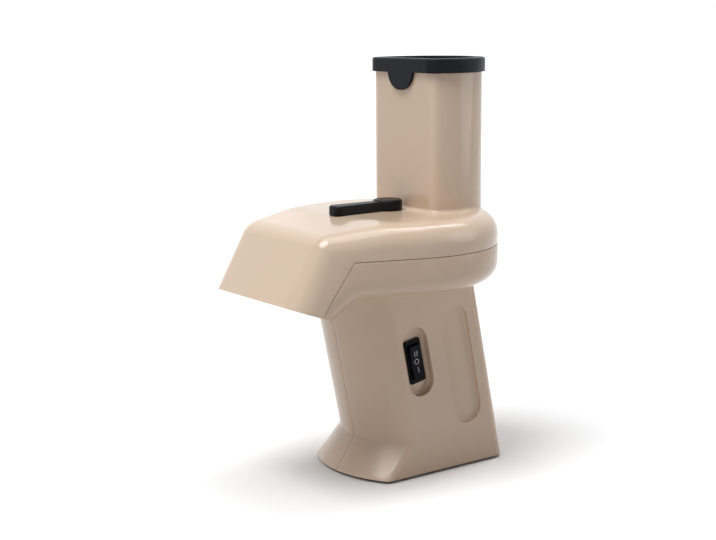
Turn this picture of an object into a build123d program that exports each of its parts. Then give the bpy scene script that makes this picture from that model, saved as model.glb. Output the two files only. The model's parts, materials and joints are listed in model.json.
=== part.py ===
from build123d import *
import os
from math import acos, atan, atan2, cos, hypot, pi, radians, sin, sqrt, tan

# Electric grater. A leaning motor column carries a round disc housing, with a
# feed tube behind and a drooping hood over the chute in front. Millimetres,
# +Z up, chute towards -Y, switch on the +X side. The pieces are modelled about
# the disc axis and moved at the end, so that the origin is under the middle.

# Fits
seam_gap = 0.4  # cover to lower housing
shell_seam = 0.25  # between the two body shells
slide_gap = 0.4  # sliding plastic pieces, each side
seat_gap = 0.2  # loose seats, each side
running_gap = 0.05  # radial, shaft in bush
tooth_gap = 0.16  # backlash thinned from each tooth

# Disc housing
housing_radius = 76.0
housing_underside = 131.5
bowl_depth = 26.0  # underside to the split
cover_height = 21.5  # split to the top
housing_wall = 2.6
top_round = 15.0
bottom_round = 14.0

# Hood and chute, set out from the drum's front
hood_reach = 33.5  # lip ahead of the drum
hood_narrowing = 24.0  # half width at the lip, inside the drum's radius
hood_lean = 29.0
hood_flare = 6.0
hood_droop = 7.0
droop_set_back = 33.0
droop_round = 120.0
corner_margin = 0.3  # by which the corners of the hood are rounder than its top
lip_drop = 1.0  # below the housing's underside
lip_tilt = 20.0
lip_depth = 31.0  # from the front of the lip to the end of the cheeks
lip_cut = 3.0  # how far the hollow is drawn out through the lip
split_set_back = 7.0  # bend of the split line
split_fall = 54.6  # slope of the split down each cheek
chute_set_back = 14.0
chute_round = 16.0
outlet_set_back = 10.0
outlet_rail = 4.0  # outlet's side, inside the lip's half width

# Feed tube and pusher
tube_radius = 38.6
tube_set_in = 3.1  # tube's back inside the drum
tube_cut = 20.5  # tube's flat ahead of its centre
tube_corner = 9.0
tube_height = 93.0
tube_wall = 2.4
tube_fillet = 2.5
pusher_wall = 2.0
pusher_rim_height = 9.6
pusher_overhang = 2.2
pusher_rim_round = 1.6
pusher_foot_gap = 5.0  # pusher's sole above the disc
tab_radius = 13.6

# Body column
foot_height = 2.0
column_half_width = 42.8
column_front = 24.1  # ahead of the disc axis, at table level
column_back = 73.3
column_lean = 0.205  # forward per height
column_front_radius = 54.0
column_edge = 6.0
column_rear_corner = 10.0
smallest_corner = 1.0
shell_wall = 2.6
top_flange = 3.0
flange_width = 6.0
toe_reach = 45.3
toe_radius = 73.6
toe_height = 24.0
shell_boss = 8.0
shell_screw_seat = 14.0
shell_screw_length = 26.0
high_shell_screws = ((-21.0, 7.0), (39.5, 10.0))  # place in Y, and drop from the housing
low_shell_screws = ((-5.0, 42.0), (52.0, 60.0), (4.0, 18.5), (57.0, 22.0))  # place in Y, and height

# Side details
pocket_length = 49.0
pocket_width = 21.0
pocket_depth = 5.0
pocket_y = -6.5
pocket_drop = 50.5  # below the housing
pocket_rim = 1.5
groove_width = 23.0
groove_depth = 3.0
groove_y = 31.0
groove_foot = 6.5  # above the toe's crease
groove_head = 15.0  # below the housing
groove_rim = 2.8

# Switch
bezel_length = 30.6
bezel_width = 12.6
bezel_height = 1.8
switch_length = 27.0
switch_width = 11.0
switch_depth = 18.0
rocker_length = 23.6
rocker_width = 9.0
rocker_rise = 2.6
rocker_pin = 2.0
rocker_throw = 11.0
well_depth = 9.0
terminal_size = (0.8, 4.8, 8.0)
terminal_pitch = 7.5

# Base
base_thickness = 2.4
base_boss = 8.0
base_boss_height = 14.0
base_screw_inset = 6.4  # from the column's sides
base_screw_rows = (-4.0, 50.0)
foot_inset = 15.8
foot_rows = (-20.0, 56.0)
foot_radius = 7.0
foot_stub = 3.0
vent_count = 7
vent_length = 30.0
vent_width = 2.6
vent_pitch = 6.0
vent_y = 24.0
board_size = (34.0, 26.0, 1.6)
board_post = 2.5
board_post_height = 7.0
capacitor_radius = 5.0
capacitor_height = 11.0
diode_size = (7.0, 3.0, 3.0)

# Cord gland
gland_height = 17.0
gland_bore = 3.4
gland_neck = 5.0
gland_collar = 7.0
gland_out = 3.6
gland_in = 2.4

# Motor
motor_radius = 21.0
motor_length = 61.0
motor_wall = 1.6
motor_nose = 6.4
motor_cap_height = 8.0
motor_shaft = 2.5
rotor_radius = 14.5
magnet_thickness = 4.0
motor_screw_spread = 12.5

# Gears
gear_module = 0.8
pinion_teeth = 10
gear_teeth = 50
gear_face = 8.0
pressure_angle = 25.0
addendum = 0.8
dedendum = 1.1
gear_web = 3.0

# Gear plate and drive shaft
plate_drop = 28.5  # below the housing
plate_thickness = 3.0
plate_ledge = 2.4
ledge_thickness = 2.0
plate_post_inset = 13.8  # from the column's sides
plate_post_rows = (-10.0, 30.0)
plate_post = 4.5
plate_screw_length = 12.0
shaft_radius = 4.0
bush_radius = 6.0
bush_flange = 8.0
bush_flange_height = 1.5
lower_bush_rise = 4.0
tower_radius = 10.0
tower_drop = 9.5
tower_rise = 2.4
seal_height = 3.2
hex_across = 7.0
shaft_collar = 6.0

# Disc and hub
disc_drop = 8.0  # disc's top below the split
disc_thickness = 1.2
disc_edge_gap = 1.3
disc_hole = 7.0
slot_length = 12.0
slot_width = 4.4
slot_lip = 1.1
slot_arms = 6
slot_rows = 4
slot_first = 21.0
slot_margin = 10.2
hub_flange = 15.0
hub_flange_height = 2.6
hub_radius = 9.0
hub_dome = 2.0
hub_dome_round = 1.6
sweeper_gap = 8.7  # arm's end inside the disc's edge
sweeper_thickness = 3.0
sweeper_height = 7.0
rivet_count = 3
rivet_circle = 11.5
rivet_radius = 1.5
rivet_head = 2.6

# Cover lock
lock_teeth = 10
lock_module = 0.8
rack_behind = 4  # rack teeth on the tail side of the spindle
rack_ahead = 2
bolt_rise = 1.5  # above the split
bolt_height = 4.2
bolt_width = 5.0
tongue_bridge = 2.3  # over the bolt's window
tongue_gap = 1.0  # inside the cover's wall
tongue_thickness = 2.0
tongue_root = 6.0
tongue_set_back = 50.0
tray_end_gap = 17.4
tray_half_width = 12.5
tray_gap = 0.6  # tray to the feed tube's flat
tray_wall = 2.0
tray_base = 2.4
tray_rib_start = 14.0
tray_post_set_in = (6.0, 31.0)  # from the tray's end
tray_post = 2.9
tray_screw_length = 9.6
spindle_radius = 4.0
spindle_pivot = 2.5
spindle_sleeve = 7.0
sleeve_drop = 7.0
spindle_square = 5.0
tenon_height = 4.0
lever_boss = 10.0
lever_reach = 46.5
lever_tip_width = 13.0
lever_waist_width = 10.6
lever_height = 6.4
lever_boss_rise = 0.9  # above the bar
lever_tip_round = 4.5
lever_top_round = 1.5
lever_turn = 90.0

# Fasteners
screw_radius = 1.5
screw_head = 3.0
screw_head_height = 2.0
cross_slot = 0.8
cross_reach = 1.8
cross_depth = 1.0

# Allowances for cutting and for picking edges
overcut = 1.0  # how far a cutter stands proud
pick_slack = 0.8  # how far a picked edge may lie from its line
mostly = 0.9  # least share of a direction that counts as along an axis

# Heights worked out from the above
housing_split = housing_underside + bowl_depth
housing_top = housing_split + cover_height
floor_top = housing_underside + housing_wall
ceiling = housing_top - housing_wall
lip_height = housing_underside - lip_drop
tube_top = housing_top + tube_height
disc_top = housing_split - disc_drop
pusher_sole = disc_top + pusher_foot_gap
skirt_bottom = disc_top + slot_lip + 2 * slide_gap
plate_bottom = housing_underside - plate_drop
plate_top = plate_bottom + plate_thickness
gear_bottom = plate_top + lower_bush_rise + bush_flange_height + seat_gap
tower_bottom = housing_underside - tower_drop
tower_top = floor_top + tower_rise
bolt_bottom = housing_split + bolt_rise
bolt_top = bolt_bottom + bolt_height
tray_top = bolt_bottom - seat_gap
base_top = foot_height + base_thickness
pocket_z = housing_underside - pocket_drop
groove_length = housing_underside - groove_head - toe_height - groove_foot
groove_z = toe_height + groove_foot + groove_length / 2

# Plan positions worked out from the above
lip_reach = housing_radius + hood_reach
frame_shift = (lip_reach - housing_radius) / 2
hood_half_width = housing_radius - hood_narrowing
hood_corner = top_round + corner_margin
droop_start = housing_radius - droop_set_back
chute_start = housing_radius - chute_set_back
split_bend = housing_radius - split_set_back
housing_inner = housing_radius - housing_wall
tongue_outer = housing_inner - tongue_gap
tongue_inner = tongue_outer - tongue_thickness
disc_radius = tongue_inner - disc_edge_gap
slot_step = (disc_radius - slot_margin - slot_first) / (slot_rows - 1)
tube_centre = housing_radius - tube_set_in - tube_radius
tube_flat = tube_centre - tube_cut
lock_y = tube_flat - tray_gap - tray_half_width
lock_pitch = lock_module * lock_teeth / 2
lock_root = lock_pitch + dedendum * lock_module
lock_travel = lock_pitch * radians(lever_turn)
tray_half_length = housing_inner - tray_end_gap
gear_spacing = gear_module * (gear_teeth + pinion_teeth) / 2
far = 2 * (lip_reach + housing_radius)


def both_sides(half, rows):
    """Places in mirrored pairs, one pair for each row."""
    return [(side * half, y) for y in rows for side in (1, -1)]


base_screw_places = both_sides(column_half_width - base_screw_inset, base_screw_rows)
foot_places = both_sides(column_half_width - foot_inset, foot_rows)
plate_post_places = both_sides(column_half_width - plate_post_inset, plate_post_rows)
shell_screw_places = [(y, housing_underside - drop) for y, drop in high_shell_screws]
shell_screw_places += low_shell_screws


def block(x_range, y_range, z_range):
    """Box between two corners."""
    sizes = [high - low for low, high in (x_range, y_range, z_range)]
    middle = [(low + high) / 2 for low, high in (x_range, y_range, z_range)]
    return Pos(*middle) * Box(*sizes)


def rod(radius, bottom, top, x=0.0, y=0.0):
    """Upright cylinder between two heights."""
    return Pos(x, y, (bottom + top) / 2) * Cylinder(radius, top - bottom)


def side_extrusion(points):
    """Closed outline in the YZ plane, drawn right across the machine."""
    return extrude(Plane.YZ * make_face(Polyline(*points, close=True)), far, both=True)


def screw(length):
    """Cross-head screw standing head up, with its seat at the origin."""
    body = rod(screw_radius, -length, 0) + rod(screw_head, 0, screw_head_height)
    depth = (screw_head_height - cross_depth, screw_head_height)
    reach = (-cross_reach, cross_reach)
    width = (-cross_slot / 2, cross_slot / 2)
    return body - block(reach, width, depth) - block(width, reach, depth)


def gear_face_outline(module, teeth):
    """Spur gear with involute flanks, a tooth centred on +X."""
    pitch_radius = module * teeth / 2
    base_radius = pitch_radius * cos(radians(pressure_angle))
    tip_radius = pitch_radius + addendum * module
    root_radius = pitch_radius - dedendum * module
    half_tooth = pi / (2 * teeth) - tooth_gap / (2 * pitch_radius)

    def involute(radius):
        roll = sqrt(max((radius / base_radius) ** 2 - 1, 0))
        return roll - atan(roll)

    flank_start = max(base_radius, root_radius)
    flank_radii = [flank_start, (flank_start + pitch_radius) / 2, pitch_radius, tip_radius]
    points = []
    for tooth in range(teeth):
        middle = 2 * pi * tooth / teeth
        flank = []
        for radius in flank_radii:
            flank.append((radius, half_tooth + involute(pitch_radius) - involute(radius)))
        if base_radius > root_radius:
            flank.insert(0, (root_radius, flank[0][1]))
        for radius, angle in flank:
            points.append((radius * cos(middle - angle), radius * sin(middle - angle)))
        for radius, angle in reversed(flank):
            points.append((radius * cos(middle + angle), radius * sin(middle + angle)))
    return make_face(Polyline(*points, close=True))


def near(edge_list, test):
    """Edges whose middle point passes a test."""
    return [edge for edge in edge_list if test(edge.position_at(0.5), edge.tangent_at(0.5))]


def top_level(y, inset):
    """Height of the housing's top, level over the disc and drooping over the hood."""
    return housing_top - inset - max(-droop_start - y, 0) * tan(radians(hood_droop))


def housing_profile(inset, lower):
    """Side view of the housing: level top, drooping hood, tilted lip and sloping chute floor."""
    top, floor = housing_top - inset, housing_underside + inset
    tilt = tan(radians(lip_tilt))
    floor_end = lip_depth - lip_reach
    chute_slope = (lip_drop + lip_depth * tilt) / (-chute_start - floor_end)
    floor_end -= (inset + lower) / (chute_slope + tilt)
    ahead = -lip_reach - lip_depth

    def lip(y):
        return lip_height - lower - (y + lip_reach) * tilt

    points = [(far, top), (-droop_start, top), (ahead, top_level(ahead, inset)), (ahead, lip(ahead))]
    points += [(floor_end, lip(floor_end)), (-chute_start, floor), (far, floor)]
    face = make_face(Polyline(*points, close=True))
    knee = [v for v in face.vertices() if abs(v.X + droop_start) < pick_slack and v.Y > housing_split]
    face = fillet(knee, droop_round)
    bend = [v for v in face.vertices() if abs(v.X + chute_start) < pick_slack and v.Y < housing_split]
    face = fillet(bend, chute_round + inset)
    return extrude(Plane.YZ * face, far, both=True)


def hood_front(z):
    """Half width and front of the hood at one height, before its corners are rounded."""
    rise = z - lip_height
    return hood_half_width - rise * tan(radians(hood_flare)), rise * tan(radians(hood_lean)) - lip_reach


def hood_turn():
    """Angle round the drum where the hood's sides run off it, chosen so that they run off smoothly."""
    half, front = hood_front(housing_split)
    return -atan2(front, half) - acos(housing_radius / hypot(half, front))


def housing_outline(z, inset):
    """Level section of the housing: round at the back, with sides drawn in to the hood's front."""
    half, front = hood_front(z)
    half -= inset
    front += inset * hypot(1, tan(radians(hood_lean)))
    turn, radius = hood_turn(), housing_radius - inset
    x, y = radius * cos(turn), -radius * sin(turn)
    outline = ThreePointArc((x, y), (0, radius), (-x, y)) + Line((half, front), (-half, front))
    for side in (1, -1):
        leave = (-side * sin(turn), -cos(turn))
        outline += TangentArc((side * x, y), (side * half, front), tangent=leave)
    return Pos(0, 0, z) * make_face(outline)


def housing_blank(inset, lower):
    """Solid of the whole housing, drum and hood in one, with the hood's corners rounded."""
    heights = (lip_height - lip_depth, housing_top)
    form = loft([housing_outline(z, inset) for z in heights], ruled=True)
    front = form.faces().sort_by(Axis.Y)[0]
    form = fillet(near(front.edges(), lambda p, t: abs(t.X) < mostly), hood_corner - inset)
    return form & housing_profile(inset, lower)


def cover_region(drop):
    """Everything above the split, which runs level and then slopes down to the lip."""
    fall = radians(split_fall)
    level = housing_split - drop
    bend = drop * tan(fall / 2) - split_bend
    low_end = level - (far + bend) * tan(fall)
    return side_extrusion([(far, level), (bend, level), (-far, low_end), (-far, far), (far, far)])


def upper_half(inset, lower, drop):
    """Housing above the split, rounded along the edge that runs all round its top."""

    def on_top(p, t):
        across = abs(t.X) > mostly and -housing_radius < p.Y < 0
        return abs(p.Z - top_level(p.Y, inset)) < pick_slack and not across

    form = housing_blank(inset, lower) & cover_region(drop)
    return fillet(near(form.edges(), on_top), top_round - inset)


def lower_half(inset, lower, drop):
    """Housing below the split, rounded under the bowl and along both sides of the chute's floor."""

    def on_bottom(p, t):
        sideways = p.Y > 0 or abs(p.X) > hood_corner
        low_down = p.Z < housing_underside + inset + pick_slack
        return low_down and sideways and p.Y > lip_depth - lip_reach

    form = housing_blank(inset, lower) - cover_region(drop)
    return fillet(near(form.edges(), on_bottom), bottom_round - inset)


def tube_section(grow):
    """D-shaped section of the feed tube, flat at the front, grown outwards."""
    radius = tube_radius + grow
    flat = tube_flat - grow
    depth = tube_centre + radius - flat
    face = Pos(0, tube_centre) * Circle(radius) & Pos(0, flat + depth / 2) * Rectangle(2 * radius, depth)
    return fillet(face.vertices().group_by(Axis.Y)[0], tube_corner + grow)


def tube_solid(grow, bottom, top):
    return Pos(0, 0, bottom) * extrude(tube_section(grow), top - bottom)


def bolt_span(side):
    """Y range of a lock bolt: the right one runs in front of the spindle, the left one behind."""
    ends = sorted((-side * lock_root, -side * (lock_root + bolt_width)))
    return lock_y + ends[0], lock_y + ends[1]


def tray_post_places():
    """Where the four posts carry the lock tray, each in the half that its bolt leaves free."""
    steps = [tray_half_length - set_in for set_in in tray_post_set_in]
    return [(side * x, sum(bolt_span(-side)) / 2) for side in (1, -1) for x in steps]


def tray_posts(radius, bottom, top):
    return Part() + [rod(radius, bottom, top, x, y) for x, y in tray_post_places()]


def make_top_cover():
    """Disc cover with the hood, the feed tube and its skirt, and the lock's sleeve and posts."""
    cover = upper_half(0, 0, 0) + tube_solid(0, ceiling - top_round, tube_top)
    foot = near(cover.edges(), lambda p, t: abs(t.Z) < mostly and on_tube(p))
    cover = fillet(foot, tube_fillet) - upper_half(housing_wall, lip_cut, overcut)
    cover += tube_solid(0, skirt_bottom, ceiling)
    cover += rod(spindle_sleeve, ceiling - sleeve_drop, ceiling + housing_wall / 2, 0, lock_y)
    cover += tray_posts(tray_post, tray_top, ceiling + housing_wall / 2)
    cover -= tray_posts(screw_radius + running_gap, tray_top, ceiling)
    cover -= rod(spindle_radius + running_gap, bolt_bottom, far, 0, lock_y)
    return cover - tube_solid(-tube_wall, 0, far)


def on_tube(point):
    """True for a point on the tube's outside, below its top."""
    rear = hypot(point.X, point.Y - tube_centre) - tube_radius
    reach = sqrt((tube_radius - tube_corner) ** 2 - (tube_centre - tube_flat - tube_corner) ** 2)
    corner = hypot(abs(point.X) - reach, point.Y - tube_flat - tube_corner) - tube_corner
    nearest = min(abs(rear), abs(corner), abs(point.Y - tube_flat))
    return point.Z < tube_top - overcut and nearest < running_gap


def locking_tongue():
    """Thin wall that stands up inside the cover, with a window for each lock bolt."""
    root, top = housing_split - tongue_root, bolt_top + tongue_bridge
    tongue = rod(housing_inner + housing_wall / 2, root, housing_split - seam_gap)
    tongue += rod(tongue_outer, root, top)
    tongue -= rod(tongue_inner, root, top)
    tongue &= block((-far, far), (-housing_radius + tongue_set_back, far), (0, far))
    tongue -= tube_solid(slide_gap, 0, far)
    for side in (1, -1):
        low, high = bolt_span(side)
        window_y = (low - slide_gap, high + slide_gap)
        window_z = (bolt_bottom - slide_gap, bolt_top + slide_gap)
        tongue -= block(sorted((0, side * far)), window_y, window_z)
    return tongue


def make_lower_housing():
    """Bowl under the disc: chute cheeks and floor, locking tongue, bearing tower and posts."""
    bowl = lower_half(0, 0, seam_gap) - lower_half(housing_wall, lip_cut, seam_gap - overcut)
    bowl += locking_tongue()
    outlet = hood_half_width - outlet_rail
    outlet_end = -housing_radius + outlet_set_back
    bowl -= block((-outlet, outlet), (-lip_reach, outlet_end), (0, floor_top))
    bowl += rod(tower_radius, tower_bottom, tower_top)
    bowl += [rod(plate_post, plate_top, floor_top, x, y) for x, y in plate_post_places]
    for x, y in plate_post_places:
        bowl -= rod(screw_radius + running_gap, plate_top, housing_underside, x, y)
    return bowl - rod(bush_radius + running_gap, tower_bottom, tower_top)


def column_section(z, inset, nose, front_radius):
    """Outline of the body at one height: round front, flat sides, rounded back corners."""
    half = column_half_width - inset
    front = -nose + inset
    back = column_back - column_lean * z - inset
    radius = front_radius - inset
    shoulder = front + radius - sqrt(radius ** 2 - half ** 2)
    arc = ThreePointArc((-half, shoulder), (0, front), (half, shoulder))
    sides = Polyline((half, shoulder), (half, back), (-half, back), (-half, shoulder))
    face = make_face(arc + sides)
    face = fillet(face.vertices().group_by(Axis.Y)[-1], max(column_rear_corner - inset, smallest_corner))
    corners = [v for v in face.vertices() if abs(v.Y - shoulder) < running_gap]
    face = fillet(corners, max(column_edge - inset, smallest_corner))
    return Pos(0, 0, z) * face


def column_slice(z, inset):
    """Outline of the leaning column above the toe."""
    return column_section(z, inset, column_front + column_lean * z, column_front_radius)


def leaning(inset, bottom, top):
    """Stretch of the leaning column between two heights."""
    height = (top - bottom) * hypot(1, column_lean)
    return extrude(column_slice(bottom, inset), height, dir=(0, -column_lean, 1))


def flared_toe(inset):
    """Flared foot of the body, up to the crease under the column."""
    sole = column_section(foot_height, inset, toe_reach, toe_radius)
    return loft([sole, column_slice(toe_height, inset)], ruled=True)


def column_solid(inset, top):
    """Whole body form: flared toe below, leaning column above."""
    return flared_toe(inset) + leaning(inset, toe_height, top)


def side_plane(y, z, x):
    """Plane on the right side: local X runs backwards and local Y up the lean."""
    return Plane(origin=(x, y, z), x_dir=(0, 1, column_lean), z_dir=(1, 0, 0))


def cross_rod(radius, y, z, x_start, x_end):
    """Cylinder lying along X."""
    middle = (x_start + x_end) / 2
    return Pos(middle, y, z) * Rot(0, 90, 0) * Cylinder(radius, abs(x_end - x_start))


def make_body():
    """Hollow column with ledges for the gear plate, bosses, and the open top flange."""
    outer = column_solid(0, housing_underside)
    body = outer - column_solid(shell_wall, housing_underside - top_flange)
    mouth = (housing_underside - 2 * top_flange, housing_underside + overcut)
    body -= leaning(shell_wall + flange_width, *mouth)
    for ledge in (plate_bottom - seat_gap - ledge_thickness, plate_top + seat_gap):
        ring = leaning(shell_wall / 2, ledge, ledge + ledge_thickness)
        span = (ledge - overcut, ledge + ledge_thickness + overcut)
        body += ring - leaning(shell_wall + plate_ledge, *span)
    half = column_half_width
    for y, z in shell_screw_places:
        body += cross_rod(shell_boss / 2, y, z, -half, half) & outer
    for x, y in base_screw_places:
        body += rod(base_boss / 2, base_top, base_boss_height, x, y) & outer
        body -= rod(screw_radius + running_gap, base_top, base_boss_height - shell_wall, x, y)
    for side in (1, -1):
        body += groove_pad(side, shell_wall, 0) & outer
        body -= groove_pad(side, 0, overcut)
    return body - gland_hole(gland_neck + running_gap)


def groove_pad(side, margin, proud):
    """Long stadium on a body side, cut for the grip groove or grown for the wall behind it."""
    depth = groove_depth + margin + proud
    plane = side_plane(groove_y, groove_z, column_half_width + proud)
    slot = SlotOverall(groove_length + 2 * margin, groove_width + 2 * margin, rotation=90)
    pad = extrude(plane * slot, -depth)
    if proud:
        pad = fillet(pad.faces().sort_by(Axis.X)[0].edges(), groove_rim)
    return pad if side > 0 else mirror(pad, Plane.YZ)


def gland_plane():
    """Plane on the rear wall where the cord enters, square to the leaning wall."""
    back = column_back - column_lean * gland_height
    return Plane(origin=(0, back, gland_height), x_dir=(1, 0, 0), z_dir=(0, 1, column_lean))


def gland_hole(radius):
    return extrude(gland_plane() * Circle(radius), 2 * shell_wall, both=True)


def pocket_pad(margin):
    """Stadium-shaped thickening behind the switch pocket."""
    plane = side_plane(pocket_y, pocket_z, column_half_width)
    slot = SlotOverall(pocket_length + 2 * margin, pocket_width + 2 * margin, rotation=90)
    return extrude(plane * slot, -pocket_depth - margin)


def make_right_shell(body):
    """Half with the switch pocket and the blind screw bosses."""
    shell = body & block((shell_seam / 2, far), (-far, far), (0, far))
    plane = side_plane(pocket_y, pocket_z, column_half_width)
    shell += pocket_pad(shell_wall) & column_solid(0, housing_underside)
    slot = SlotOverall(pocket_length, pocket_width, rotation=90)
    pocket = extrude(plane.offset(overcut) * slot, -pocket_depth - overcut)
    shell -= fillet(pocket.faces().sort_by(Axis.X)[0].edges(), pocket_rim)
    hole = Rectangle(switch_width + 2 * seat_gap, switch_length + 2 * seat_gap)
    shell -= extrude(plane * hole, -pocket_depth - 2 * shell_wall)
    for y, z in shell_screw_places:
        shell -= cross_rod(screw_radius + running_gap, y, z, 0, shell_screw_seat)
    return shell


def make_left_shell(body):
    """Half with the counterbored screw holes."""
    shell = body & block((-far, -shell_seam / 2), (-far, far), (0, far))
    for y, z in shell_screw_places:
        shell -= cross_rod(screw_radius + running_gap, y, z, -far, 0)
        shell -= cross_rod(screw_head + seat_gap, y, z, -far, -shell_screw_seat)
    return shell


def make_shell_screws():
    """Screws through the left shell into the right one."""
    fixing = Rot(0, -90, 0) * screw(shell_screw_length)
    return Part() + [Pos(-shell_screw_seat, y, z) * fixing for y, z in shell_screw_places]


def make_base_plate():
    """Floor of the body, with holes for its feet and screws and posts for the board."""
    plate = flared_toe(shell_wall + seat_gap) & block((-far, far), (-far, far), (foot_height, base_top))
    for x, y in base_screw_places:
        plate -= rod(screw_radius + running_gap, 0, far, x, y)
        plate -= rod(screw_head + seat_gap, 0, foot_height + base_thickness / 2, x, y)
    for x, y in foot_places:
        plate -= rod(foot_stub + running_gap, 0, far, x, y)
    for x, y in board_corners():
        plate += rod(board_post, foot_height, base_top + board_post_height, x, y)
    for step in range(vent_count):
        x = (step - (vent_count - 1) / 2) * vent_pitch
        slot = Pos(x, vent_y) * SlotOverall(vent_length, vent_width, rotation=90)
        plate -= extrude(slot, 2 * base_top)
    return plate


def board_corners():
    half_x, half_y = board_size[0] / 2 - board_post, board_size[1] / 2 - board_post
    return [(x, gear_spacing + y) for x in (-half_x, half_x) for y in (-half_y, half_y)]


def make_rectifier_board():
    """Small circuit board with its capacitor and diodes, on the base plate's posts."""
    bottom = base_top + board_post_height
    top = bottom + board_size[2]
    half_x, half_y = board_size[0] / 2, board_size[1] / 2
    board = block((-half_x, half_x), (-half_y, half_y), (bottom, top))
    board += rod(capacitor_radius, top, top + capacitor_height, -half_x / 2)
    for row in (-1, 1):
        diode = Pos(half_x / 2, row * half_y / 2, top + diode_size[2] / 2) * Box(*diode_size)
        board += diode
    return Pos(0, gear_spacing, 0) * board


def make_base_screws():
    fixing = Rot(180, 0, 0) * screw(base_boss_height - shell_wall - base_top)
    seat = foot_height + base_thickness / 2
    return Part() + [Pos(x, y, seat) * fixing for x, y in base_screw_places]


def make_feet():
    """Soft feet with a stub pressed through the base plate."""
    foot = rod(foot_radius, 0, foot_height) + rod(foot_stub, foot_height, base_top)
    foot = fillet(foot.faces().sort_by(Axis.Z)[0].edges(), foot_height / 3)
    return Part() + [Pos(x, y, 0) * foot for x, y in foot_places]


def make_cord_gland():
    """Bush in the rear wall, trapped between the shells by its two collars."""
    plane = gland_plane()
    gland = extrude(plane.offset(-shell_wall) * Circle(gland_neck), shell_wall)
    gland += extrude(plane * Circle(gland_collar), gland_out)
    gland += extrude(plane.offset(-shell_wall - gland_in) * Circle(gland_collar), gland_in)
    gland = fillet(gland.faces().sort_by(Axis.Y)[-1].edges(), gland_in / 2)
    return gland - extrude(plane * Circle(gland_bore), 4 * gland_collar, both=True)


def rocker_plane():
    """Plane on the pocket floor, where the switch bezel sits."""
    return side_plane(pocket_y, pocket_z, column_half_width - pocket_depth)


def make_switch_housing():
    """Bezel and body of the rocker switch, with the rocker's well and pin holes."""
    plane = rocker_plane()
    bezel = fillet(Rectangle(bezel_width, bezel_length).vertices(), smallest_corner)
    housing = extrude(plane * bezel, bezel_height)
    housing += extrude(plane * Rectangle(switch_width, switch_length), -switch_depth)
    well = Rectangle(rocker_width + 2 * slide_gap, rocker_length + 2 * slide_gap)
    housing -= extrude(plane.offset(bezel_height) * well, -bezel_height - well_depth)
    pin = Circle(rocker_pin / 2 + running_gap)
    pin_plane = Plane(origin=plane.origin, x_dir=(1, 0, 0), z_dir=plane.x_dir)
    return housing - extrude(pin_plane * pin, switch_width / 2 - smallest_corner / 2, both=True)


def make_rocker():
    """Rocker with a shallow V face, turning on its cross pin at the bezel's foot."""
    plane = rocker_plane()
    throw = radians(rocker_throw)
    reach = rocker_length / 2 * cos(throw)
    crest = bezel_height + rocker_rise
    edge = crest - reach * tan(throw)
    depth = well_depth / 2
    points = [(0, crest - rocker_rise / 2), (reach, crest), (reach, edge - rocker_rise)]
    points += [(reach / 3, -depth), (-reach / 3, -depth), (-reach, edge - rocker_rise), (-reach, crest)]
    profile_plane = Plane(origin=plane.origin, x_dir=plane.y_dir, z_dir=plane.x_dir)
    face = profile_plane * make_face(Polyline(*points, close=True))
    rocker = extrude(face, rocker_width / 2, both=True)
    pin_plane = Plane(origin=plane.origin, x_dir=(1, 0, 0), z_dir=plane.x_dir)
    pin_half = switch_width / 2 - smallest_corner / 2 - running_gap
    return rocker + extrude(pin_plane * Circle(rocker_pin / 2), pin_half, both=True)


def make_terminals():
    """Three blades at the back of the switch."""
    plane = rocker_plane().offset(-switch_depth)
    thick, wide, long = terminal_size
    blades = [Pos(0, step * terminal_pitch) * Rectangle(wide, thick) for step in (-1, 0, 1)]
    return Part() + [extrude(plane * blade, -long) for blade in blades]


def make_motor_can():
    """Drawn steel can with its nose up under the gear plate."""
    bottom = plate_bottom - motor_length
    crown = plate_bottom - motor_wall
    can = rod(motor_radius, bottom, plate_bottom) - rod(motor_radius - motor_wall, bottom, crown)
    can = fillet(can.edges().filter_by(GeomType.CIRCLE).group_by(Axis.Z)[-1], motor_wall / 2)
    can += rod(motor_nose, crown, plate_top)
    can -= rod(motor_shaft + running_gap, bottom, far)
    for side in (1, -1):
        can -= rod(screw_radius + running_gap, crown, plate_bottom, side * motor_screw_spread)
    return Pos(0, gear_spacing, 0) * can


def make_motor_magnets():
    """Two arc magnets against the can's wall."""
    outer = motor_radius - motor_wall
    low = plate_bottom - motor_length + motor_cap_height
    ring = rod(outer, low, plate_bottom - 2 * motor_cap_height) - rod(outer - magnet_thickness, low, far)
    return Pos(0, gear_spacing, 0) * (ring - block((-far, far), (-motor_nose, motor_nose), (0, far)))


def make_motor_cap():
    """Moulded end cap with the tail bearing and two brush humps."""
    bottom = plate_bottom - motor_length - motor_cap_height
    top = plate_bottom - motor_length
    cap = rod(motor_radius, bottom + motor_wall, top) + rod(motor_nose, bottom, top)
    for side in (1, -1):
        hump = (side * motor_radius / 2 - motor_nose / 2, side * motor_radius / 2 + motor_nose / 2)
        cap += block(hump, (-motor_nose / 2, motor_nose / 2), (bottom, top))
    cap -= rod(motor_shaft + running_gap, bottom, top)
    return Pos(0, gear_spacing, 0) * cap


def make_motor_rotor():
    """Rotor core, commutator and the shaft that carries the pinion."""
    bottom = plate_bottom - motor_length
    rotor = rod(motor_shaft, bottom - motor_cap_height, gear_bottom + gear_face)
    rotor += rod(rotor_radius, bottom + motor_cap_height, plate_bottom - 2 * motor_cap_height)
    rotor += rod(rotor_radius / 2, bottom + slide_gap, bottom + motor_cap_height)
    return Pos(0, gear_spacing, 0) * rotor


def make_pinion():
    """Ten-tooth motor pinion, with a gap facing the drive gear."""
    pinion = extrude(gear_face_outline(gear_module, pinion_teeth), gear_face)
    pinion -= rod(motor_shaft + running_gap, 0, gear_face)
    turn = -90 + 180 / pinion_teeth
    return Pos(0, gear_spacing, gear_bottom) * Rot(0, 0, turn) * pinion


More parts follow.
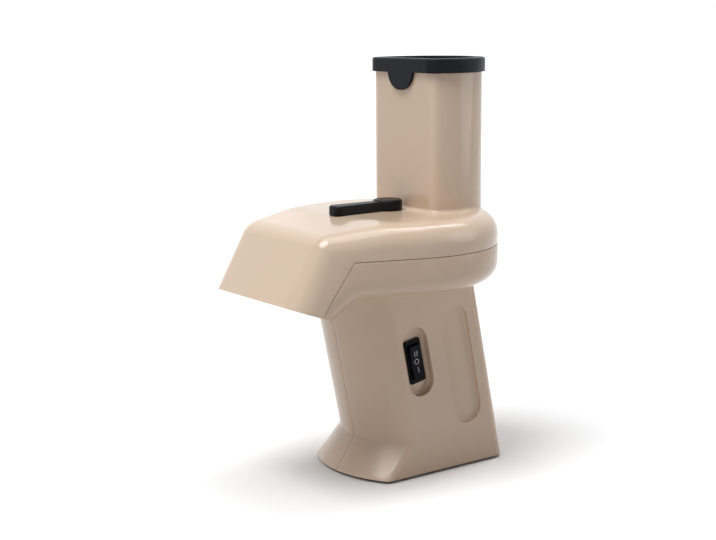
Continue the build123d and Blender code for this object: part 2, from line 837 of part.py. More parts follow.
def make_drive_gear():
    """Fifty-tooth gear with a thin web, a tooth facing the pinion."""
    gear = extrude(gear_face_outline(gear_module, gear_teeth), gear_face)
    rim = gear_module * gear_teeth / 2 - gear_web
    hollow = rod(rim, 0, gear_face) - rod(bush_flange, 0, gear_face)
    gear -= hollow & block((-far, far), (-far, far), (gear_face / 2 + gear_web / 2, far))
    gear -= hollow & block((-far, far), (-far, far), (-far, gear_face / 2 - gear_web / 2))
    gear -= rod(shaft_radius + running_gap, 0, gear_face)
    return Pos(0, 0, gear_bottom) * Rot(0, 0, 90) * gear


def make_motor_screws():
    places = [(side * motor_screw_spread, gear_spacing, plate_top) for side in (1, -1)]
    return Part() + [Pos(*place) * screw(plate_thickness + motor_wall) for place in places]


def make_gear_plate():
    """Plate gripped by the shells, carrying the motor below and the shaft's lower bush."""
    outline = column_slice(plate_bottom + plate_thickness / 2, shell_wall + 2 * seat_gap)
    plate = Pos(0, 0, -plate_thickness / 2) * extrude(outline, plate_thickness)
    for side in (1, -1):
        plate -= groove_pad(side, shell_wall + 2 * seat_gap, 0)
    plate -= pocket_pad(shell_wall + 2 * seat_gap)
    plate += rod(bush_flange, plate_bottom, plate_top + lower_bush_rise)
    plate -= rod(bush_radius + running_gap, plate_bottom + plate_thickness / 2, far)
    plate -= rod(motor_nose + running_gap, 0, far, 0, gear_spacing)
    for x, y in plate_post_places:
        plate -= rod(screw_radius + running_gap, 0, far, x, y)
    for side in (1, -1):
        plate -= rod(screw_radius + running_gap, 0, far, side * motor_screw_spread, gear_spacing)
    return plate


def make_plate_screws():
    fixing = Rot(180, 0, 0) * screw(plate_screw_length)
    return Part() + [Pos(x, y, plate_bottom) * fixing for x, y in plate_post_places]


def make_drive_shaft():
    """Stepped shaft with a hexagon that drives the disc hub."""
    foot = plate_bottom + plate_thickness / 2 + seat_gap
    gear_top = gear_bottom + gear_face
    shaft = rod(shaft_radius, foot, tower_top)
    shaft += rod(shaft_collar, gear_top, tower_bottom - bush_flange_height - seat_gap)
    hexagon = RegularPolygon(hex_across / 2, 6, major_radius=False)
    return shaft + Pos(0, 0, tower_top) * extrude(hexagon, disc_top - disc_thickness - tower_top)


def make_bush(bottom, top, flange_low, flange_high):
    """Flanged bronze bush on the shaft."""
    bush = rod(bush_radius, bottom, top) + rod(bush_flange, flange_low, flange_high)
    return bush - rod(shaft_radius + running_gap, bottom - bush_flange, top + bush_flange)


def make_lower_bush():
    top = plate_top + lower_bush_rise
    return make_bush(plate_bottom + plate_thickness / 2, top, top, top + bush_flange_height)


def make_upper_bush():
    top = tower_top - seal_height
    return make_bush(tower_bottom, top, tower_bottom - bush_flange_height, tower_bottom)


def make_shaft_seal():
    """Lip seal over the upper bush."""
    seal = rod(bush_radius, tower_top - seal_height, tower_top)
    return seal - rod(shaft_radius + running_gap, 0, far)


def make_cutting_disc():
    """Steel disc with spiral rows of slots, each with a raised cutting lip."""
    bottom = disc_top - disc_thickness
    disc = rod(disc_radius, bottom, disc_top) - rod(disc_hole + running_gap, 0, far)
    slots, lips = Part(), Part()
    for arm in range(slot_arms):
        for row in range(slot_rows):
            radius = slot_first + row * slot_step
            turn = 360 / slot_arms * (arm + row / slot_rows)
            place = Rot(0, 0, turn) * Pos(radius, 0, disc_top)
            slots += place * extrude(SlotOverall(slot_length, slot_width), disc_thickness, both=True)
            lip = Polyline((0, 0), (slot_width / 2, 0), (0, slot_lip), close=True)
            ridge = extrude(Plane.YZ * make_face(lip), slot_length / 3, both=True)
            lips += place * Pos(0, slot_width / 2, 0) * ridge
    disc = disc - slots + lips
    for place in rivet_places():
        disc -= place * rod(rivet_radius + running_gap, 0, far)
    return disc


def rivet_places():
    turns = [360 / rivet_count * (step + 0.5) for step in range(rivet_count)]
    return [Rot(0, 0, turn) * Pos(rivet_circle, 0, 0) for turn in turns]


def make_disc_hub():
    """Moulded hub with a hexagon socket, a flange under the disc and two sweeper arms."""
    flange_top = disc_top - disc_thickness
    bottom = tower_top + slide_gap
    hub = rod(hub_radius, bottom, flange_top) + rod(hub_flange, flange_top - hub_flange_height, flange_top)
    hub += rod(disc_hole, flange_top, disc_top + hub_dome)
    hub = fillet(hub.faces().sort_by(Axis.Z)[-1].edges(), hub_dome_round)
    arm_y = (-sweeper_thickness / 2, sweeper_thickness / 2)
    arm = disc_radius - sweeper_gap
    hub += block((-arm, arm), arm_y, (bottom, bottom + sweeper_height))
    socket = RegularPolygon(hex_across / 2 + running_gap, 6, major_radius=False)
    hub -= Pos(0, 0, bottom) * extrude(socket, flange_top + seat_gap - bottom)
    for place in rivet_places():
        hub -= place * rod(rivet_radius + running_gap, flange_top - hub_flange_height, far)
    return hub


def make_rivets():
    """Rivets that clinch the disc to its hub."""
    flange_bottom = disc_top - disc_thickness - hub_flange_height
    rivet = rod(rivet_radius, flange_bottom, disc_top)
    rivet += rod(rivet_head, disc_top, disc_top + rivet_radius / 2)
    return Part() + [place * rivet for place in rivet_places()]


def make_lock_bolt(side):
    """Sliding bolt: a rack beside the spindle and a plain bar out to the tongue's window."""
    low, high = bolt_span(side)
    outer = max(abs(low), abs(high))
    tip = sqrt((housing_inner - slide_gap) ** 2 - outer ** 2) - lock_travel
    pitch = pi * lock_module
    tail = -(rack_behind + 0.5) * pitch
    bolt = block((tail, tip), (low - lock_y, high - lock_y), (0, bolt_height))
    bolt = bolt if side > 0 else block((-tip, -tail), (low - lock_y, high - lock_y), (0, bolt_height))
    slope = tan(radians(pressure_angle)) * lock_module
    half_root = pitch / 4 - tooth_gap / 2 + dedendum * slope
    half_tip = pitch / 4 - tooth_gap / 2 - addendum * slope
    crest = lock_pitch - addendum * lock_module
    foot = [(-half_root, -lock_root), (half_root, -lock_root)]
    tooth = Polyline(*foot, (half_tip, -crest), (-half_tip, -crest), close=True)
    rack_tooth = extrude(make_face(tooth), bolt_height)
    rack = [Pos((step + 0.5) * pitch, 0, 0) * rack_tooth for step in range(-rack_behind, rack_ahead)]
    teeth = Part() + rack
    teeth = teeth if side > 0 else Rot(0, 0, 180) * teeth
    return Pos(0, lock_y, bolt_bottom) * (bolt + teeth)


def make_lock_spindle():
    """Upright spindle: square tenon for the lever, pinion between the racks, pivot in the tray."""
    spindle = extrude(gear_face_outline(lock_module, lock_teeth), bolt_height)
    spindle = Pos(0, 0, bolt_bottom) * Rot(0, 0, 90) * spindle
    shoulder = housing_top + seat_gap
    spindle += rod(spindle_radius, bolt_top, shoulder)
    spindle += rod(spindle_pivot, tray_top - tray_base, bolt_bottom)
    half = spindle_square / 2
    spindle += block((-half, half), (-half, half), (shoulder, shoulder + tenon_height))
    return Pos(0, lock_y, 0) * spindle


def make_lock_tray():
    """Channel under the bolts, with guide ribs and the spindle's lower pivot hole."""
    bottom = tray_top - tray_base
    length = (-tray_half_length, tray_half_length)
    tray = block(length, (-tray_half_width, tray_half_width), (bottom, bolt_top))
    inner = tray_half_width - tray_wall
    tray -= block(length, (-inner, inner), (tray_top, bolt_top))
    for side in (1, -1):
        guide = -side * (lock_root - slide_gap)
        rib_y = sorted((guide, guide + side * tray_wall))
        rib_x = sorted((side * tray_rib_start, side * tray_half_length))
        tray += block(rib_x, rib_y, (bottom, bolt_top))
    tray = Pos(0, lock_y, 0) * (tray - rod(spindle_pivot + running_gap, bottom, tray_top))
    return tray - tray_posts(screw_radius + running_gap, bottom, tray_top)


def make_tray_screws():
    fixing = Rot(180, 0, 0) * screw(tray_screw_length)
    return Part() + [Pos(x, y, tray_top - tray_base) * fixing for x, y in tray_post_places()]


def make_lock_lever():
    """Lever on the cover: raised round boss over the spindle, waisted bar towards the chute."""
    half_tip, half_waist = lever_tip_width / 2, lever_waist_width / 2
    corners = [(half_waist, 0), (half_waist, -lever_boss), (half_tip, -lever_reach)]
    corners += [(-x, y) for x, y in reversed(corners)]
    plan = make_face(Polyline(*corners, close=True))
    plan = fillet(plan.vertices().group_by(Axis.Y)[0], lever_tip_round)
    bar = extrude(plan, lever_height)
    bar = fillet(bar.faces().sort_by(Axis.Z)[-1].edges(), lever_top_round)
    boss = rod(lever_boss, 0, lever_height + lever_boss_rise)
    boss = fillet(boss.faces().sort_by(Axis.Z)[-1].edges(), lever_top_round)
    half = spindle_square / 2 + running_gap
    socket = block((-half, half), (-half, half), (0, tenon_height + seat_gap))
    return Pos(0, lock_y, housing_top + seat_gap) * (bar + boss - socket)


def make_food_pusher():
    """Hollow plunger: open cup in the tube, rim over its top and a finger tab on the flat."""
    rim_bottom = tube_top + seat_gap
    rim_top = rim_bottom + pusher_rim_height
    body_grow = -tube_wall - slide_gap
    cup_grow = body_grow - pusher_wall
    pusher = tube_solid(body_grow, pusher_sole, rim_bottom + pusher_rim_height / 2)
    rim = tube_solid(pusher_overhang, rim_bottom, rim_top)
    rim = fillet(rim.faces().sort_by(Axis.Z)[-1].edges(), pusher_rim_round)
    front = tube_flat - pusher_overhang
    tab_plane = Plane(origin=(0, front, rim_bottom + pusher_rim_round), x_dir=(1, 0, 0), z_dir=(0, -1, 0))
    tab = extrude(tab_plane * Circle(tab_radius), -(pusher_overhang - seat_gap))
    tab &= block((-far, far), (-far, far), (0, rim_bottom + pusher_rim_round))
    pusher = pusher + rim + tab
    return pusher - tube_solid(cup_grow, pusher_sole + pusher_wall, far)


def make_pieces():
    """Every piece by its node name."""
    body = make_body()
    return {
        "left_body_shell": make_left_shell(body),
        "right_body_shell": make_right_shell(body),
        "shell_screws": make_shell_screws(),
        "base_plate": make_base_plate(),
        "base_screws": make_base_screws(),
        "rubber_feet": make_feet(),
        "rectifier_board": make_rectifier_board(),
        "cord_gland": make_cord_gland(),
        "switch_housing": make_switch_housing(),
        "switch_rocker": make_rocker(),
        "switch_terminals": make_terminals(),
        "motor_can": make_motor_can(),
        "motor_magnets": make_motor_magnets(),
        "motor_end_cap": make_motor_cap(),
        "motor_rotor": make_motor_rotor(),
        "motor_pinion": make_pinion(),
        "motor_screws": make_motor_screws(),
        "gear_plate": make_gear_plate(),
        "gear_plate_screws": make_plate_screws(),
        "drive_gear": make_drive_gear(),
        "drive_shaft": make_drive_shaft(),
        "lower_bush": make_lower_bush(),
        "upper_bush": make_upper_bush(),
        "shaft_seal": make_shaft_seal(),
        "lower_housing": make_lower_housing(),
        "cutting_disc": make_cutting_disc(),
        "disc_hub": make_disc_hub(),
        "disc_rivets": make_rivets(),
        "top_cover": make_top_cover(),
        "lock_tray": make_lock_tray(),
        "lock_tray_screws": make_tray_screws(),
        "lock_spindle": make_lock_spindle(),
        "left_lock_bolt": make_lock_bolt(-1),
        "right_lock_bolt": make_lock_bolt(1),
        "lock_lever": make_lock_lever(),
        "food_pusher": make_food_pusher(),
    }


os.makedirs("parts", exist_ok=True)
for node, piece in make_pieces().items():
    export_step(Pos(0, frame_shift, 0) * piece, f"parts/{node}.step")
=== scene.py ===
import json
from math import cos, radians, sin

import bmesh
import bpy
from mathutils import Matrix, Vector


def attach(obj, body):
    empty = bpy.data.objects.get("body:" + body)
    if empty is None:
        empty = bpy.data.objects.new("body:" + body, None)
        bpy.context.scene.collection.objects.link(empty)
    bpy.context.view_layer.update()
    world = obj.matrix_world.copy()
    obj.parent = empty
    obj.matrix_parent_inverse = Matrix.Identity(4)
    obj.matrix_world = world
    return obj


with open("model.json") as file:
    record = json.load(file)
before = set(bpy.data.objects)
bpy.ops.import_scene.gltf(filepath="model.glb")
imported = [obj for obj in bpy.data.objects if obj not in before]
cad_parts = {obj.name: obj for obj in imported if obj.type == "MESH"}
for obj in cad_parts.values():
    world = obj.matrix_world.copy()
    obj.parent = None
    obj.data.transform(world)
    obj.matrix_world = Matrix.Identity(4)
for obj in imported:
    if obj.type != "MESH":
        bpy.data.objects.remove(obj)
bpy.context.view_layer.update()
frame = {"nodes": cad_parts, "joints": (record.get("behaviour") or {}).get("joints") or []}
nodes = frame["nodes"]
scene = bpy.context.scene
scene.view_settings.view_transform = "Standard"

# The table: a plain white studio floor that runs back to a white surround. Both are
# white where they are seen or mirrored; where they only throw light back on the object
# the floor is duller and the surround nearly dark.
FLOOR_HALF = 12.0
FLOOR_COLOUR = (0.95, 0.95, 0.95, 1.0)
FLOOR_BOUNCE = (0.62, 0.62, 0.62, 1.0)
FLOOR_ROUGHNESS = 0.9
SURROUND_COLOUR = (1.0, 1.0, 1.0, 1.0)
SURROUND_WHITE = 1.0
SURROUND_FILL = 0.03


def new_material(name):
    """Node material with its tree and its Principled shader."""
    material = bpy.data.materials.new(name)
    material.use_nodes = True
    tree = material.node_tree
    return material, tree, tree.nodes["Principled BSDF"]


def seen_rays(tree):
    """Mask of the rays that show a surface: from the camera, in a mirror and through glass."""
    rays = tree.nodes.new("ShaderNodeLightPath")
    mask = rays.outputs["Is Camera Ray"]
    for kind in ("Is Glossy Ray", "Is Transmission Ray"):
        either = tree.nodes.new("ShaderNodeMath")
        either.operation = "MAXIMUM"
        tree.links.new(mask, either.inputs[0])
        tree.links.new(rays.outputs[kind], either.inputs[1])
        mask = either.outputs[0]
    return mask


floor_mesh = bpy.data.meshes.new("studio_floor")
shape = bmesh.new()
bmesh.ops.create_grid(shape, x_segments=1, y_segments=1, size=FLOOR_HALF)
shape.to_mesh(floor_mesh)
shape.free()
floor = bpy.data.objects.new("studio_floor", floor_mesh)
scene.collection.objects.link(floor)
floor_paper, tree, shader = new_material("floor_paper")
paper = tree.nodes.new("ShaderNodeMix")
paper.data_type = "RGBA"
paper.inputs["A"].default_value = FLOOR_BOUNCE
paper.inputs["B"].default_value = FLOOR_COLOUR
tree.links.new(seen_rays(tree), paper.inputs["Factor"])
tree.links.new(paper.outputs["Result"], shader.inputs["Base Color"])
shader.inputs["Roughness"].default_value = FLOOR_ROUGHNESS
shader.inputs["Specular IOR Level"].default_value = 0.0
floor_mesh.materials.append(floor_paper)

world = bpy.data.worlds.new("studio_surround")
scene.world = world
world.use_nodes = True
tree = world.node_tree
surround = tree.nodes["Background"]
strength = tree.nodes.new("ShaderNodeMapRange")
strength.inputs["To Min"].default_value = SURROUND_FILL
strength.inputs["To Max"].default_value = SURROUND_WHITE
tree.links.new(seen_rays(tree), strength.inputs["Value"])
tree.links.new(strength.outputs[0], surround.inputs["Strength"])
surround.inputs["Color"].default_value = SURROUND_COLOUR

# The lamps: a broad one overhead, a main one high on the chute side, weak low ones in
# front, behind and on the far side, and a strip of three small ones high at the back that
# draws the highlight along the housing's rolled edge.
WHITE = (1.0, 1.0, 1.0)
WARM_WHITE = (1.0, 0.99, 0.975)
STRIP_POWER = 0.17
STRIP_SPREAD = 15.0
STRIP_DIRECTIONS = ((-0.04, 0.38, 0.92), (-0.07, 0.52, 0.85), (-0.10, 0.66, 0.74))


def soft_sun(name, towards_lamp, power, spread, tint):
    """Broad lamp at a great distance, so that the floor is lit evenly to its edge."""
    lamp = bpy.data.lights.new(name, "SUN")
    lamp.energy = power
    lamp.angle = radians(spread)
    lamp.color = tint
    holder = bpy.data.objects.new(name, lamp)
    holder.rotation_euler = Vector(towards_lamp).to_track_quat("Z", "Y").to_euler()
    scene.collection.objects.link(holder)


soft_sun("overhead_lamp", (0.0, 0.0, 1.0), power=1.25, spread=45.0, tint=(0.99, 0.99, 1.0))
soft_sun("chute_side_lamp", (0.0, -0.42, 0.90), power=2.0, spread=32.0, tint=(0.985, 0.995, 1.0))
soft_sun("low_front_lamp", (0.0, -1.0, 0.30), power=0.45, spread=60.0, tint=WARM_WHITE)
soft_sun("back_lamp", (0.60, 0.75, 0.30), power=0.45, spread=40.0, tint=WHITE)
soft_sun("far_side_lamp", (-1.0, 0.0, 0.30), power=0.2, spread=60.0, tint=WHITE)
for place, direction in enumerate(STRIP_DIRECTIONS):
    soft_sun(f"strip_lamp_{place}", direction, STRIP_POWER, STRIP_SPREAD, WHITE)

# The camera: a long lens a little higher than the pusher's rim, off the corner between the
# chute and the switch side, looking slightly down with a slight roll.
CAMERA_PLACE = (0.75971, -0.55762, 0.30926)
CAMERA_TURN = 54.12
CAMERA_DOWN = 10.24
CAMERA_ROLL = -0.56
PICTURE_WIDTH = 716
FOCAL_PIXELS = 1399.85
camera_data = bpy.data.cameras.new("picture_camera")
camera_data.sensor_fit = "HORIZONTAL"
camera_data.lens = FOCAL_PIXELS * camera_data.sensor_width / PICTURE_WIDTH
camera_data.clip_end = 2 * FLOOR_HALF
camera = bpy.data.objects.new("picture_camera", camera_data)
turn, down, roll = radians(CAMERA_TURN), radians(CAMERA_DOWN), radians(CAMERA_ROLL)
ahead = Vector((-sin(turn) * cos(down), cos(turn) * cos(down), -sin(down)))
level_right = Vector((cos(turn), sin(turn), 0.0))
level_up = level_right.cross(ahead)
right = level_right * cos(roll) + level_up * sin(roll)
up = level_up * cos(roll) - level_right * sin(roll)
facing = Matrix((right, up, -ahead)).transposed().to_4x4()
camera.matrix_world = Matrix.Translation(CAMERA_PLACE) @ facing
scene.collection.objects.link(camera)
scene.camera = camera

# The two body shells: the leaning grip and motor column, injection moulded in cream
# plastic and screwed together along the middle with the heads on the far side. The
# moulding skin and the soft mould edges are shared by the other plastic pieces.
SHELL_EDGE = 0.0007
DRIFT_SCALE = 22.0
DRIFT_DETAIL = 3.0
PEBBLE_SCALE = 1900.0
PEBBLE_DETAIL = 1.0
PEBBLE_STRENGTH = 0.35
PLAIN_SHINE = 0.5
JOIN_DISTANCE = 0.000002
EDGE_STEPS = 3
EDGE_ANGLE = 38.0


def new_skin(name, own_inputs):
    """Empty skin group: takes two close colours and a roughness range, gives what varies."""
    skin = bpy.data.node_groups.new(name, "ShaderNodeTree")
    taken = {"Colour": "Color", "Shade Colour": "Color", "Smoothest": "Float", "Roughest": "Float"}
    given = {"Colour": "Color", "Roughness": "Float", "Height": "Float"}
    for side, sockets in (("INPUT", {**taken, **own_inputs}), ("OUTPUT", given)):
        for socket, kind in sockets.items():
            skin.interface.new_socket(socket, in_out=side, socket_type=f"NodeSocket{kind}")
    return skin, skin.nodes.new("NodeGroupInput"), skin.nodes.new("NodeGroupOutput")


def spread_skin(skin, into, out, pattern, height):
    """Lets a pattern pick between the skin's two colours and within its roughness range."""
    link = skin.links.new
    blend = skin.nodes.new("ShaderNodeMix")
    blend.data_type = "RGBA"
    link(pattern, blend.inputs["Factor"])
    link(into.outputs["Colour"], blend.inputs["A"])
    link(into.outputs["Shade Colour"], blend.inputs["B"])
    polish = skin.nodes.new("ShaderNodeMapRange")
    link(pattern, polish.inputs["Value"])
    link(into.outputs["Smoothest"], polish.inputs["To Min"])
    link(into.outputs["Roughest"], polish.inputs["To Max"])
    link(blend.outputs["Result"], out.inputs["Colour"])
    link(polish.outputs["Result"], out.inputs["Roughness"])
    link(height, out.inputs["Height"])


def moulding_skin_group():
    """Skin of a moulding: a slow drift of colour and shine, and a fine pebble."""
    skin, into, out = new_skin("moulding_skin", {"Drift Scale": "Float", "Pebble Scale": "Float"})
    add, link = skin.nodes.new, skin.links.new
    place, drift, pebble = add("ShaderNodeTexCoord"), add("ShaderNodeTexNoise"), add("ShaderNodeTexNoise")
    drift.inputs["Detail"].default_value = DRIFT_DETAIL
    pebble.inputs["Detail"].default_value = PEBBLE_DETAIL
    link(place.outputs["Object"], drift.inputs["Vector"])
    link(place.outputs["Object"], pebble.inputs["Vector"])
    link(into.outputs["Drift Scale"], drift.inputs["Scale"])
    link(into.outputs["Pebble Scale"], pebble.inputs["Scale"])
    spread_skin(skin, into, out, drift.outputs["Fac"], pebble.outputs["Fac"])
    return skin


def skinned_material(name, skin, colour, shade, rough, depth, strength):
    """Material under a skin, whose height is a fine bump, with its skin node and its shader."""
    material, tree, shader = new_material(name)
    layer = tree.nodes.new("ShaderNodeGroup")
    layer.node_tree = skin
    layer.inputs["Colour"].default_value = (*colour, 1.0)
    layer.inputs["Shade Colour"].default_value = (*shade, 1.0)
    layer.inputs["Smoothest"].default_value, layer.inputs["Roughest"].default_value = rough
    bump = tree.nodes.new("ShaderNodeBump")
    bump.inputs["Distance"].default_value = depth
    bump.inputs["Strength"].default_value = strength
    tree.links.new(layer.outputs["Colour"], shader.inputs["Base Color"])
    tree.links.new(layer.outputs["Roughness"], shader.inputs["Roughness"])
    tree.links.new(layer.outputs["Height"], bump.inputs["Height"])
    tree.links.new(bump.outputs["Normal"], shader.inputs["Normal"])
    return material, layer, shader


moulding_skin = moulding_skin_group()


def moulded_plastic(name, colour, shade, rough, pebble_depth, shine=PLAIN_SHINE):
    """Plastic with the moulding skin, its pebble's depth and its shine."""
    material, layer, shader = skinned_material(
        name, moulding_skin, colour, shade, rough, pebble_depth, PEBBLE_STRENGTH)
    layer.inputs["Drift Scale"].default_value = DRIFT_SCALE
    layer.inputs["Pebble Scale"].default_value = PEBBLE_SCALE
    shader.inputs["Specular IOR Level"].default_value = shine
    return material


def dress(material, *names):
    """Gives CAD nodes their finish."""
    for name in names:
        slots = nodes[name].data.materials
        slots.clear()
        slots.append(material)


def soften(width, *names):
    """Rounds the sharp edges of CAD nodes as a mould does."""
    for name in names:
        joined = nodes[name].modifiers.new("joined_corners", "WELD")
        joined.merge_threshold = JOIN_DISTANCE
        edges = nodes[name].modifiers.new("soft_edges", "BEVEL")
        edges.width = width
        edges.segments = EDGE_STEPS
        edges.limit_method = "ANGLE"
        edges.angle_limit = radians(EDGE_ANGLE)
        edges.harden_normals = True


cream_column = moulded_plastic(
    "cream_column", colour=(0.640, 0.480, 0.356), shade=(0.618, 0.459, 0.338),
    rough=(0.19, 0.26), pebble_depth=0.00004)
dress(cream_column, "left_body_shell", "right_body_shell")
soften(SHELL_EDGE, "left_body_shell", "right_body_shell")

# The lower housing: a cream bowl under the disc with the chute's cheeks and floor, of the same plastic as
# the column from a smoother mould, screwed down to the gear plate. Its colour is the column's cream
# darkened by about a tenth, as painted shade on the bowl's sides.
BOWL_EDGE = 0.0003
# Painted shade: both colours are the column's cream made about a tenth darker, standing in for the shade on
# the bowl.
cream_bowl_painted_shade = moulded_plastic(
    "cream_bowl_painted_shade", colour=(0.585, 0.437, 0.323), shade=(0.566, 0.419, 0.308),
    rough=(0.16, 0.24), pebble_depth=0.00003)
dress(cream_bowl_painted_shade, "lower_housing")
soften(BOWL_EDGE, "lower_housing")

# The cover: the housing's lid with the drooping hood and the D-shaped feed tube, one
# glossy cream moulding that lifts off once its two bolts are drawn in.
COVER_EDGE = 0.0003
cream_cover = moulded_plastic(
    "cream_cover", colour=(0.640, 0.489, 0.367), shade=(0.622, 0.471, 0.351),
    rough=(0.11, 0.17), pebble_depth=0.00001)
dress(cream_cover, "top_cover")
soften(COVER_EDGE, "top_cover")

# The pusher: a hollow black plunger that drops down the feed tube, with a rim to rest on
# the tube's top and a half-round finger tab on the flat side. Satin moulded plastic.
PUSHER_EDGE = 0.0004
black_pusher = moulded_plastic(
    "black_pusher", colour=(0.0075, 0.0085, 0.0130), shade=(0.0095, 0.0105, 0.0150),
    rough=(0.34, 0.44), pebble_depth=0.00005, shine=0.11)
dress(black_pusher, "food_pusher")
soften(PUSHER_EDGE, "food_pusher")

# The lock lever: a solid black handle on the cover that turns the spindle and throws
# the two bolts. Same plastic as the pusher, polished a little by fingers.
LEVER_EDGE = 0.0004
black_lever = moulded_plastic(
    "black_lever", colour=(0.0080, 0.0080, 0.0085), shade=(0.0100, 0.0100, 0.0105),
    rough=(0.30, 0.42), pebble_depth=0.00005, shine=0.10)
dress(black_lever, "lock_lever")
soften(LEVER_EDGE, "lock_lever")

# The switch: a black panel rocker snapped into the stadium-shaped pocket, with a satin
# rocker in a matt bezel.
SWITCH_EDGE = 0.0003
black_bezel = moulded_plastic(
    "black_bezel", colour=(0.0030, 0.0030, 0.0032), shade=(0.0040, 0.0040, 0.0042),
    rough=(0.42, 0.52), pebble_depth=0.00004, shine=0.07)
black_rocker = moulded_plastic(
    "black_rocker", colour=(0.0030, 0.0032, 0.0050), shade=(0.0040, 0.0042, 0.0060),
    rough=(0.30, 0.40), pebble_depth=0.00002, shine=0.07)
dress(black_bezel, "switch_housing")
dress(black_rocker, "switch_rocker")
soften(SWITCH_EDGE, "switch_housing", "switch_rocker")

# The switch marks: two bars, a ring and one bar, pad printed in white down the rocker's
# shallow V face, a few hundredths of a millimetre thick.
rocker_tilt = next(joint for joint in frame["joints"] if joint["name"] == "rocker_tilt")
ROCKER_ORIGIN = Vector(rocker_tilt["pos_m"])
ROCKER_OUT = Vector((1.0, 0.0, 0.0))
ROCKER_ACROSS = Vector(rocker_tilt["axis"])
ROCKER_UP = ROCKER_OUT.cross(ROCKER_ACROSS)
ROCKER_VALLEY = 0.0031
ROCKER_RISE = 0.0013
ROCKER_HALF_LENGTH = 0.01158
ROCKER_SLOPE = ROCKER_RISE / ROCKER_HALF_LENGTH
PRINT_RAISE = 0.00002
PRINT_THICKNESS = 0.00005
MARK_STEP = 0.0057
BAR_LENGTH = 0.0040
BAR_HALF_WIDTH = 0.00023
BAR_APART = 0.00095
RING_RADIUS = 0.0017
RING_STEPS = 32
END_STEPS = 4
MERGE_DISTANCE = 0.0000001


def printed_ring(shape):
    """Flat ring about the rocker's middle, as the first of the marks."""
    for radius in (RING_RADIUS - BAR_HALF_WIDTH, RING_RADIUS + BAR_HALF_WIDTH):
        bmesh.ops.create_circle(shape, segments=RING_STEPS, radius=radius)
    bmesh.ops.bridge_loops(shape, edges=shape.edges[:])


def printed_bar(shape, across, along):
    """Flat bar along the rocker, with its corners rounded until they meet."""
    size = Matrix.Diagonal((BAR_HALF_WIDTH, BAR_LENGTH / 2, 1.0, 1.0))
    place = Matrix.Translation((across, along, 0.0)) @ size
    bar = bmesh.ops.create_grid(shape, x_segments=1, y_segments=1, size=1.0, matrix=place)
    bmesh.ops.bevel(shape, geom=bar["verts"], affect="VERTICES", offset=BAR_HALF_WIDTH,
                    offset_type="ABSOLUTE", segments=END_STEPS, profile=0.5, material=-1)


def lay_on_rocker(shape):
    """Folds the flat print on to the rocker's face, with the fold in the valley."""
    for vert in shape.verts:
        across, along = vert.co.xy
        depth = ROCKER_VALLEY + abs(along) * ROCKER_SLOPE + PRINT_RAISE
        vert.co = ROCKER_ORIGIN + ROCKER_ACROSS * across + ROCKER_UP * along + ROCKER_OUT * depth


marks_mesh = bpy.data.meshes.new("switch_marks")
shape = bmesh.new()
printed_ring(shape)
printed_bar(shape, -BAR_APART, MARK_STEP)
printed_bar(shape, BAR_APART, MARK_STEP)
printed_bar(shape, 0.0, -MARK_STEP)
bmesh.ops.remove_doubles(shape, verts=shape.verts[:], dist=MERGE_DISTANCE)
lay_on_rocker(shape)
grown = bmesh.ops.extrude_face_region(shape, geom=shape.faces[:], use_keep_orig=True)
raised = [item for item in grown["geom"] if isinstance(item, bmesh.types.BMVert)]
bmesh.ops.translate(shape, verts=raised, vec=ROCKER_OUT * PRINT_THICKNESS)
bmesh.ops.recalc_face_normals(shape, faces=shape.faces[:])
shape.to_mesh(marks_mesh)
shape.free()
switch_marks = bpy.data.objects.new("switch_marks", marks_mesh)
scene.collection.objects.link(switch_marks)
white_print = moulded_plastic(
    "white_print", colour=(0.50, 0.51, 0.54), shade=(0.44, 0.45, 0.48),
    rough=(0.5, 0.6), pebble_depth=0.00001, shine=0.3)
marks_mesh.materials.append(white_print)
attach(switch_marks, "rocker")

# The sole: a black base plate let into the shells, with the stubs of four rubber feet
# pressed through it. The cord gland in the rear wall is of the plate's plastic and the
# shaft's seal is of the feet's rubber.
SOLE_EDGE = 0.0004
black_sole = moulded_plastic(
    "black_sole", colour=(0.030, 0.030, 0.031), shade=(0.038, 0.038, 0.039),
    rough=(0.46, 0.58), pebble_depth=0.00008)
foot_rubber = moulded_plastic(
    "foot_rubber", colour=(0.022, 0.022, 0.022), shade=(0.034, 0.033, 0.032),
    rough=(0.70, 0.85), pebble_depth=0.00010)
dress(black_sole, "base_plate", "cord_gland")
dress(foot_rubber, "rubber_feet", "shaft_seal")
soften(SOLE_EDGE, "base_plate", "cord_gland")

# The screws: zinc-plated steel with a cross recess, sunk in the far shell, the sole, the
# motor, the gear plate and the lock tray.
STREAK_DETAIL = 4.0
STREAK_DEPTH = 0.00002
STREAK_STRENGTH = 0.4


def metal_streaks_group():
    """Skin of worked metal: streaks in its colour and shine, finest along the highest scale."""
    skin, into, out = new_skin("metal_streaks", {"Streak Scale": "Vector"})
    add, link = skin.nodes.new, skin.links.new
    place, stretch, streaks = add("ShaderNodeTexCoord"), add("ShaderNodeMapping"), add("ShaderNodeTexNoise")
    streaks.inputs["Scale"].default_value = 1.0
    streaks.inputs["Detail"].default_value = STREAK_DETAIL
    link(place.outputs["Object"], stretch.inputs["Vector"])
    link(into.outputs["Streak Scale"], stretch.inputs["Scale"])
    link(stretch.outputs["Vector"], streaks.inputs["Vector"])
    spread_skin(skin, into, out, streaks.outputs["Fac"], streaks.outputs["Fac"])
    return skin


metal_streaks = metal_streaks_group()


def worked_metal(name, colour, shade, rough, streak):
    """Bare metal with the streaks at the given scale along each axis."""
    material, layer, shader = skinned_material(
        name, metal_streaks, colour, shade, rough, STREAK_DEPTH, STREAK_STRENGTH)
    layer.inputs["Streak Scale"].default_value = streak
    shader.inputs["Metallic"].default_value = 1.0
    return material


zinc_screw = worked_metal(
    "zinc_screw", colour=(0.60, 0.60, 0.58), shade=(0.45, 0.46, 0.47),
    rough=(0.28, 0.45), streak=(900.0, 900.0, 900.0))
dress(zinc_screw, "shell_screws", "base_screws", "motor_screws", "gear_plate_screws", "lock_tray_screws")

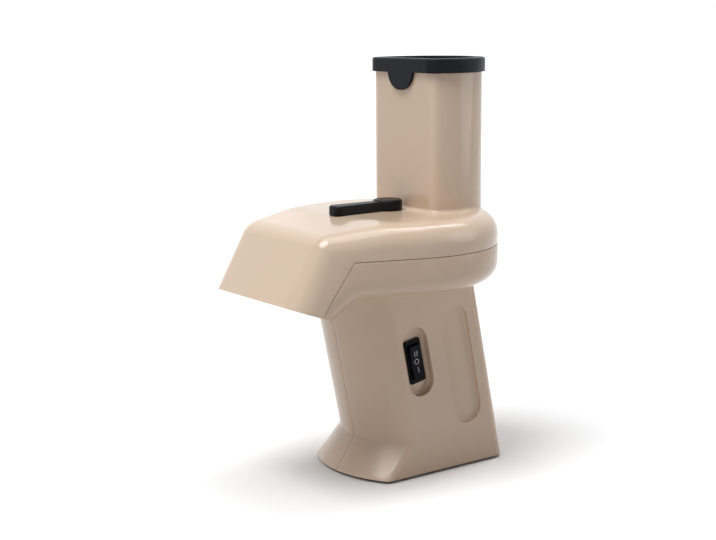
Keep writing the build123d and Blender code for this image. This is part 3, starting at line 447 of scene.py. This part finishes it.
# The cutting disc and its drive: rolled steel sheet with punched slots, riveted to a
# moulded hub, on a turned steel shaft that runs in two bronze bushes. The switch's
# terminals are the same sheet and the motor's pinion is turned like the shaft.
disc_steel = worked_metal(
    "disc_steel", colour=(0.66, 0.67, 0.68), shade=(0.52, 0.53, 0.55),
    rough=(0.28, 0.40), streak=(2600.0, 60.0, 200.0))
shaft_steel = worked_metal(
    "shaft_steel", colour=(0.58, 0.58, 0.59), shade=(0.47, 0.47, 0.48),
    rough=(0.28, 0.38), streak=(60.0, 60.0, 2400.0))
bush_bronze = worked_metal(
    "bush_bronze", colour=(0.58, 0.40, 0.19), shade=(0.44, 0.29, 0.13),
    rough=(0.34, 0.5), streak=(700.0, 700.0, 700.0))
dress(disc_steel, "cutting_disc", "disc_rivets", "switch_terminals")
dress(shaft_steel, "drive_shaft", "motor_pinion")
dress(bush_bronze, "lower_bush", "upper_bush")

# The inner mouldings: gear plate, drive gear, hub, motor cap and the lock's tray, spindle
# and bolts, all in plain off-white engineering plastic. The shells grip the gear plate,
# and the tray is screwed up under the cover.
white_nylon = moulded_plastic(
    "white_nylon", colour=(0.66, 0.65, 0.60), shade=(0.60, 0.58, 0.52),
    rough=(0.42, 0.56), pebble_depth=0.00006)
dress(white_nylon, "gear_plate", "drive_gear", "disc_hub", "motor_end_cap", "lock_tray", "lock_spindle")
dress(white_nylon, "left_lock_bolt", "right_lock_bolt")

# The motor and its board: a plated steel can with two magnets and a varnished rotor, and
# a small green circuit board on posts below it.
can_steel = worked_metal(
    "can_steel", colour=(0.40, 0.41, 0.43), shade=(0.30, 0.31, 0.33),
    rough=(0.32, 0.5), streak=(120.0, 120.0, 900.0))
rotor_iron = worked_metal(
    "rotor_iron", colour=(0.26, 0.19, 0.14), shade=(0.16, 0.12, 0.10),
    rough=(0.4, 0.6), streak=(60.0, 60.0, 3000.0))
magnet_grey = moulded_plastic(
    "magnet_grey", colour=(0.060, 0.060, 0.063), shade=(0.085, 0.083, 0.082),
    rough=(0.55, 0.72), pebble_depth=0.00012)
board_green = moulded_plastic(
    "board_green", colour=(0.020, 0.120, 0.050), shade=(0.026, 0.150, 0.064),
    rough=(0.30, 0.44), pebble_depth=0.00006)
dress(can_steel, "motor_can")
dress(rotor_iron, "motor_rotor")
dress(magnet_grey, "motor_magnets")
dress(board_green, "rectifier_board")
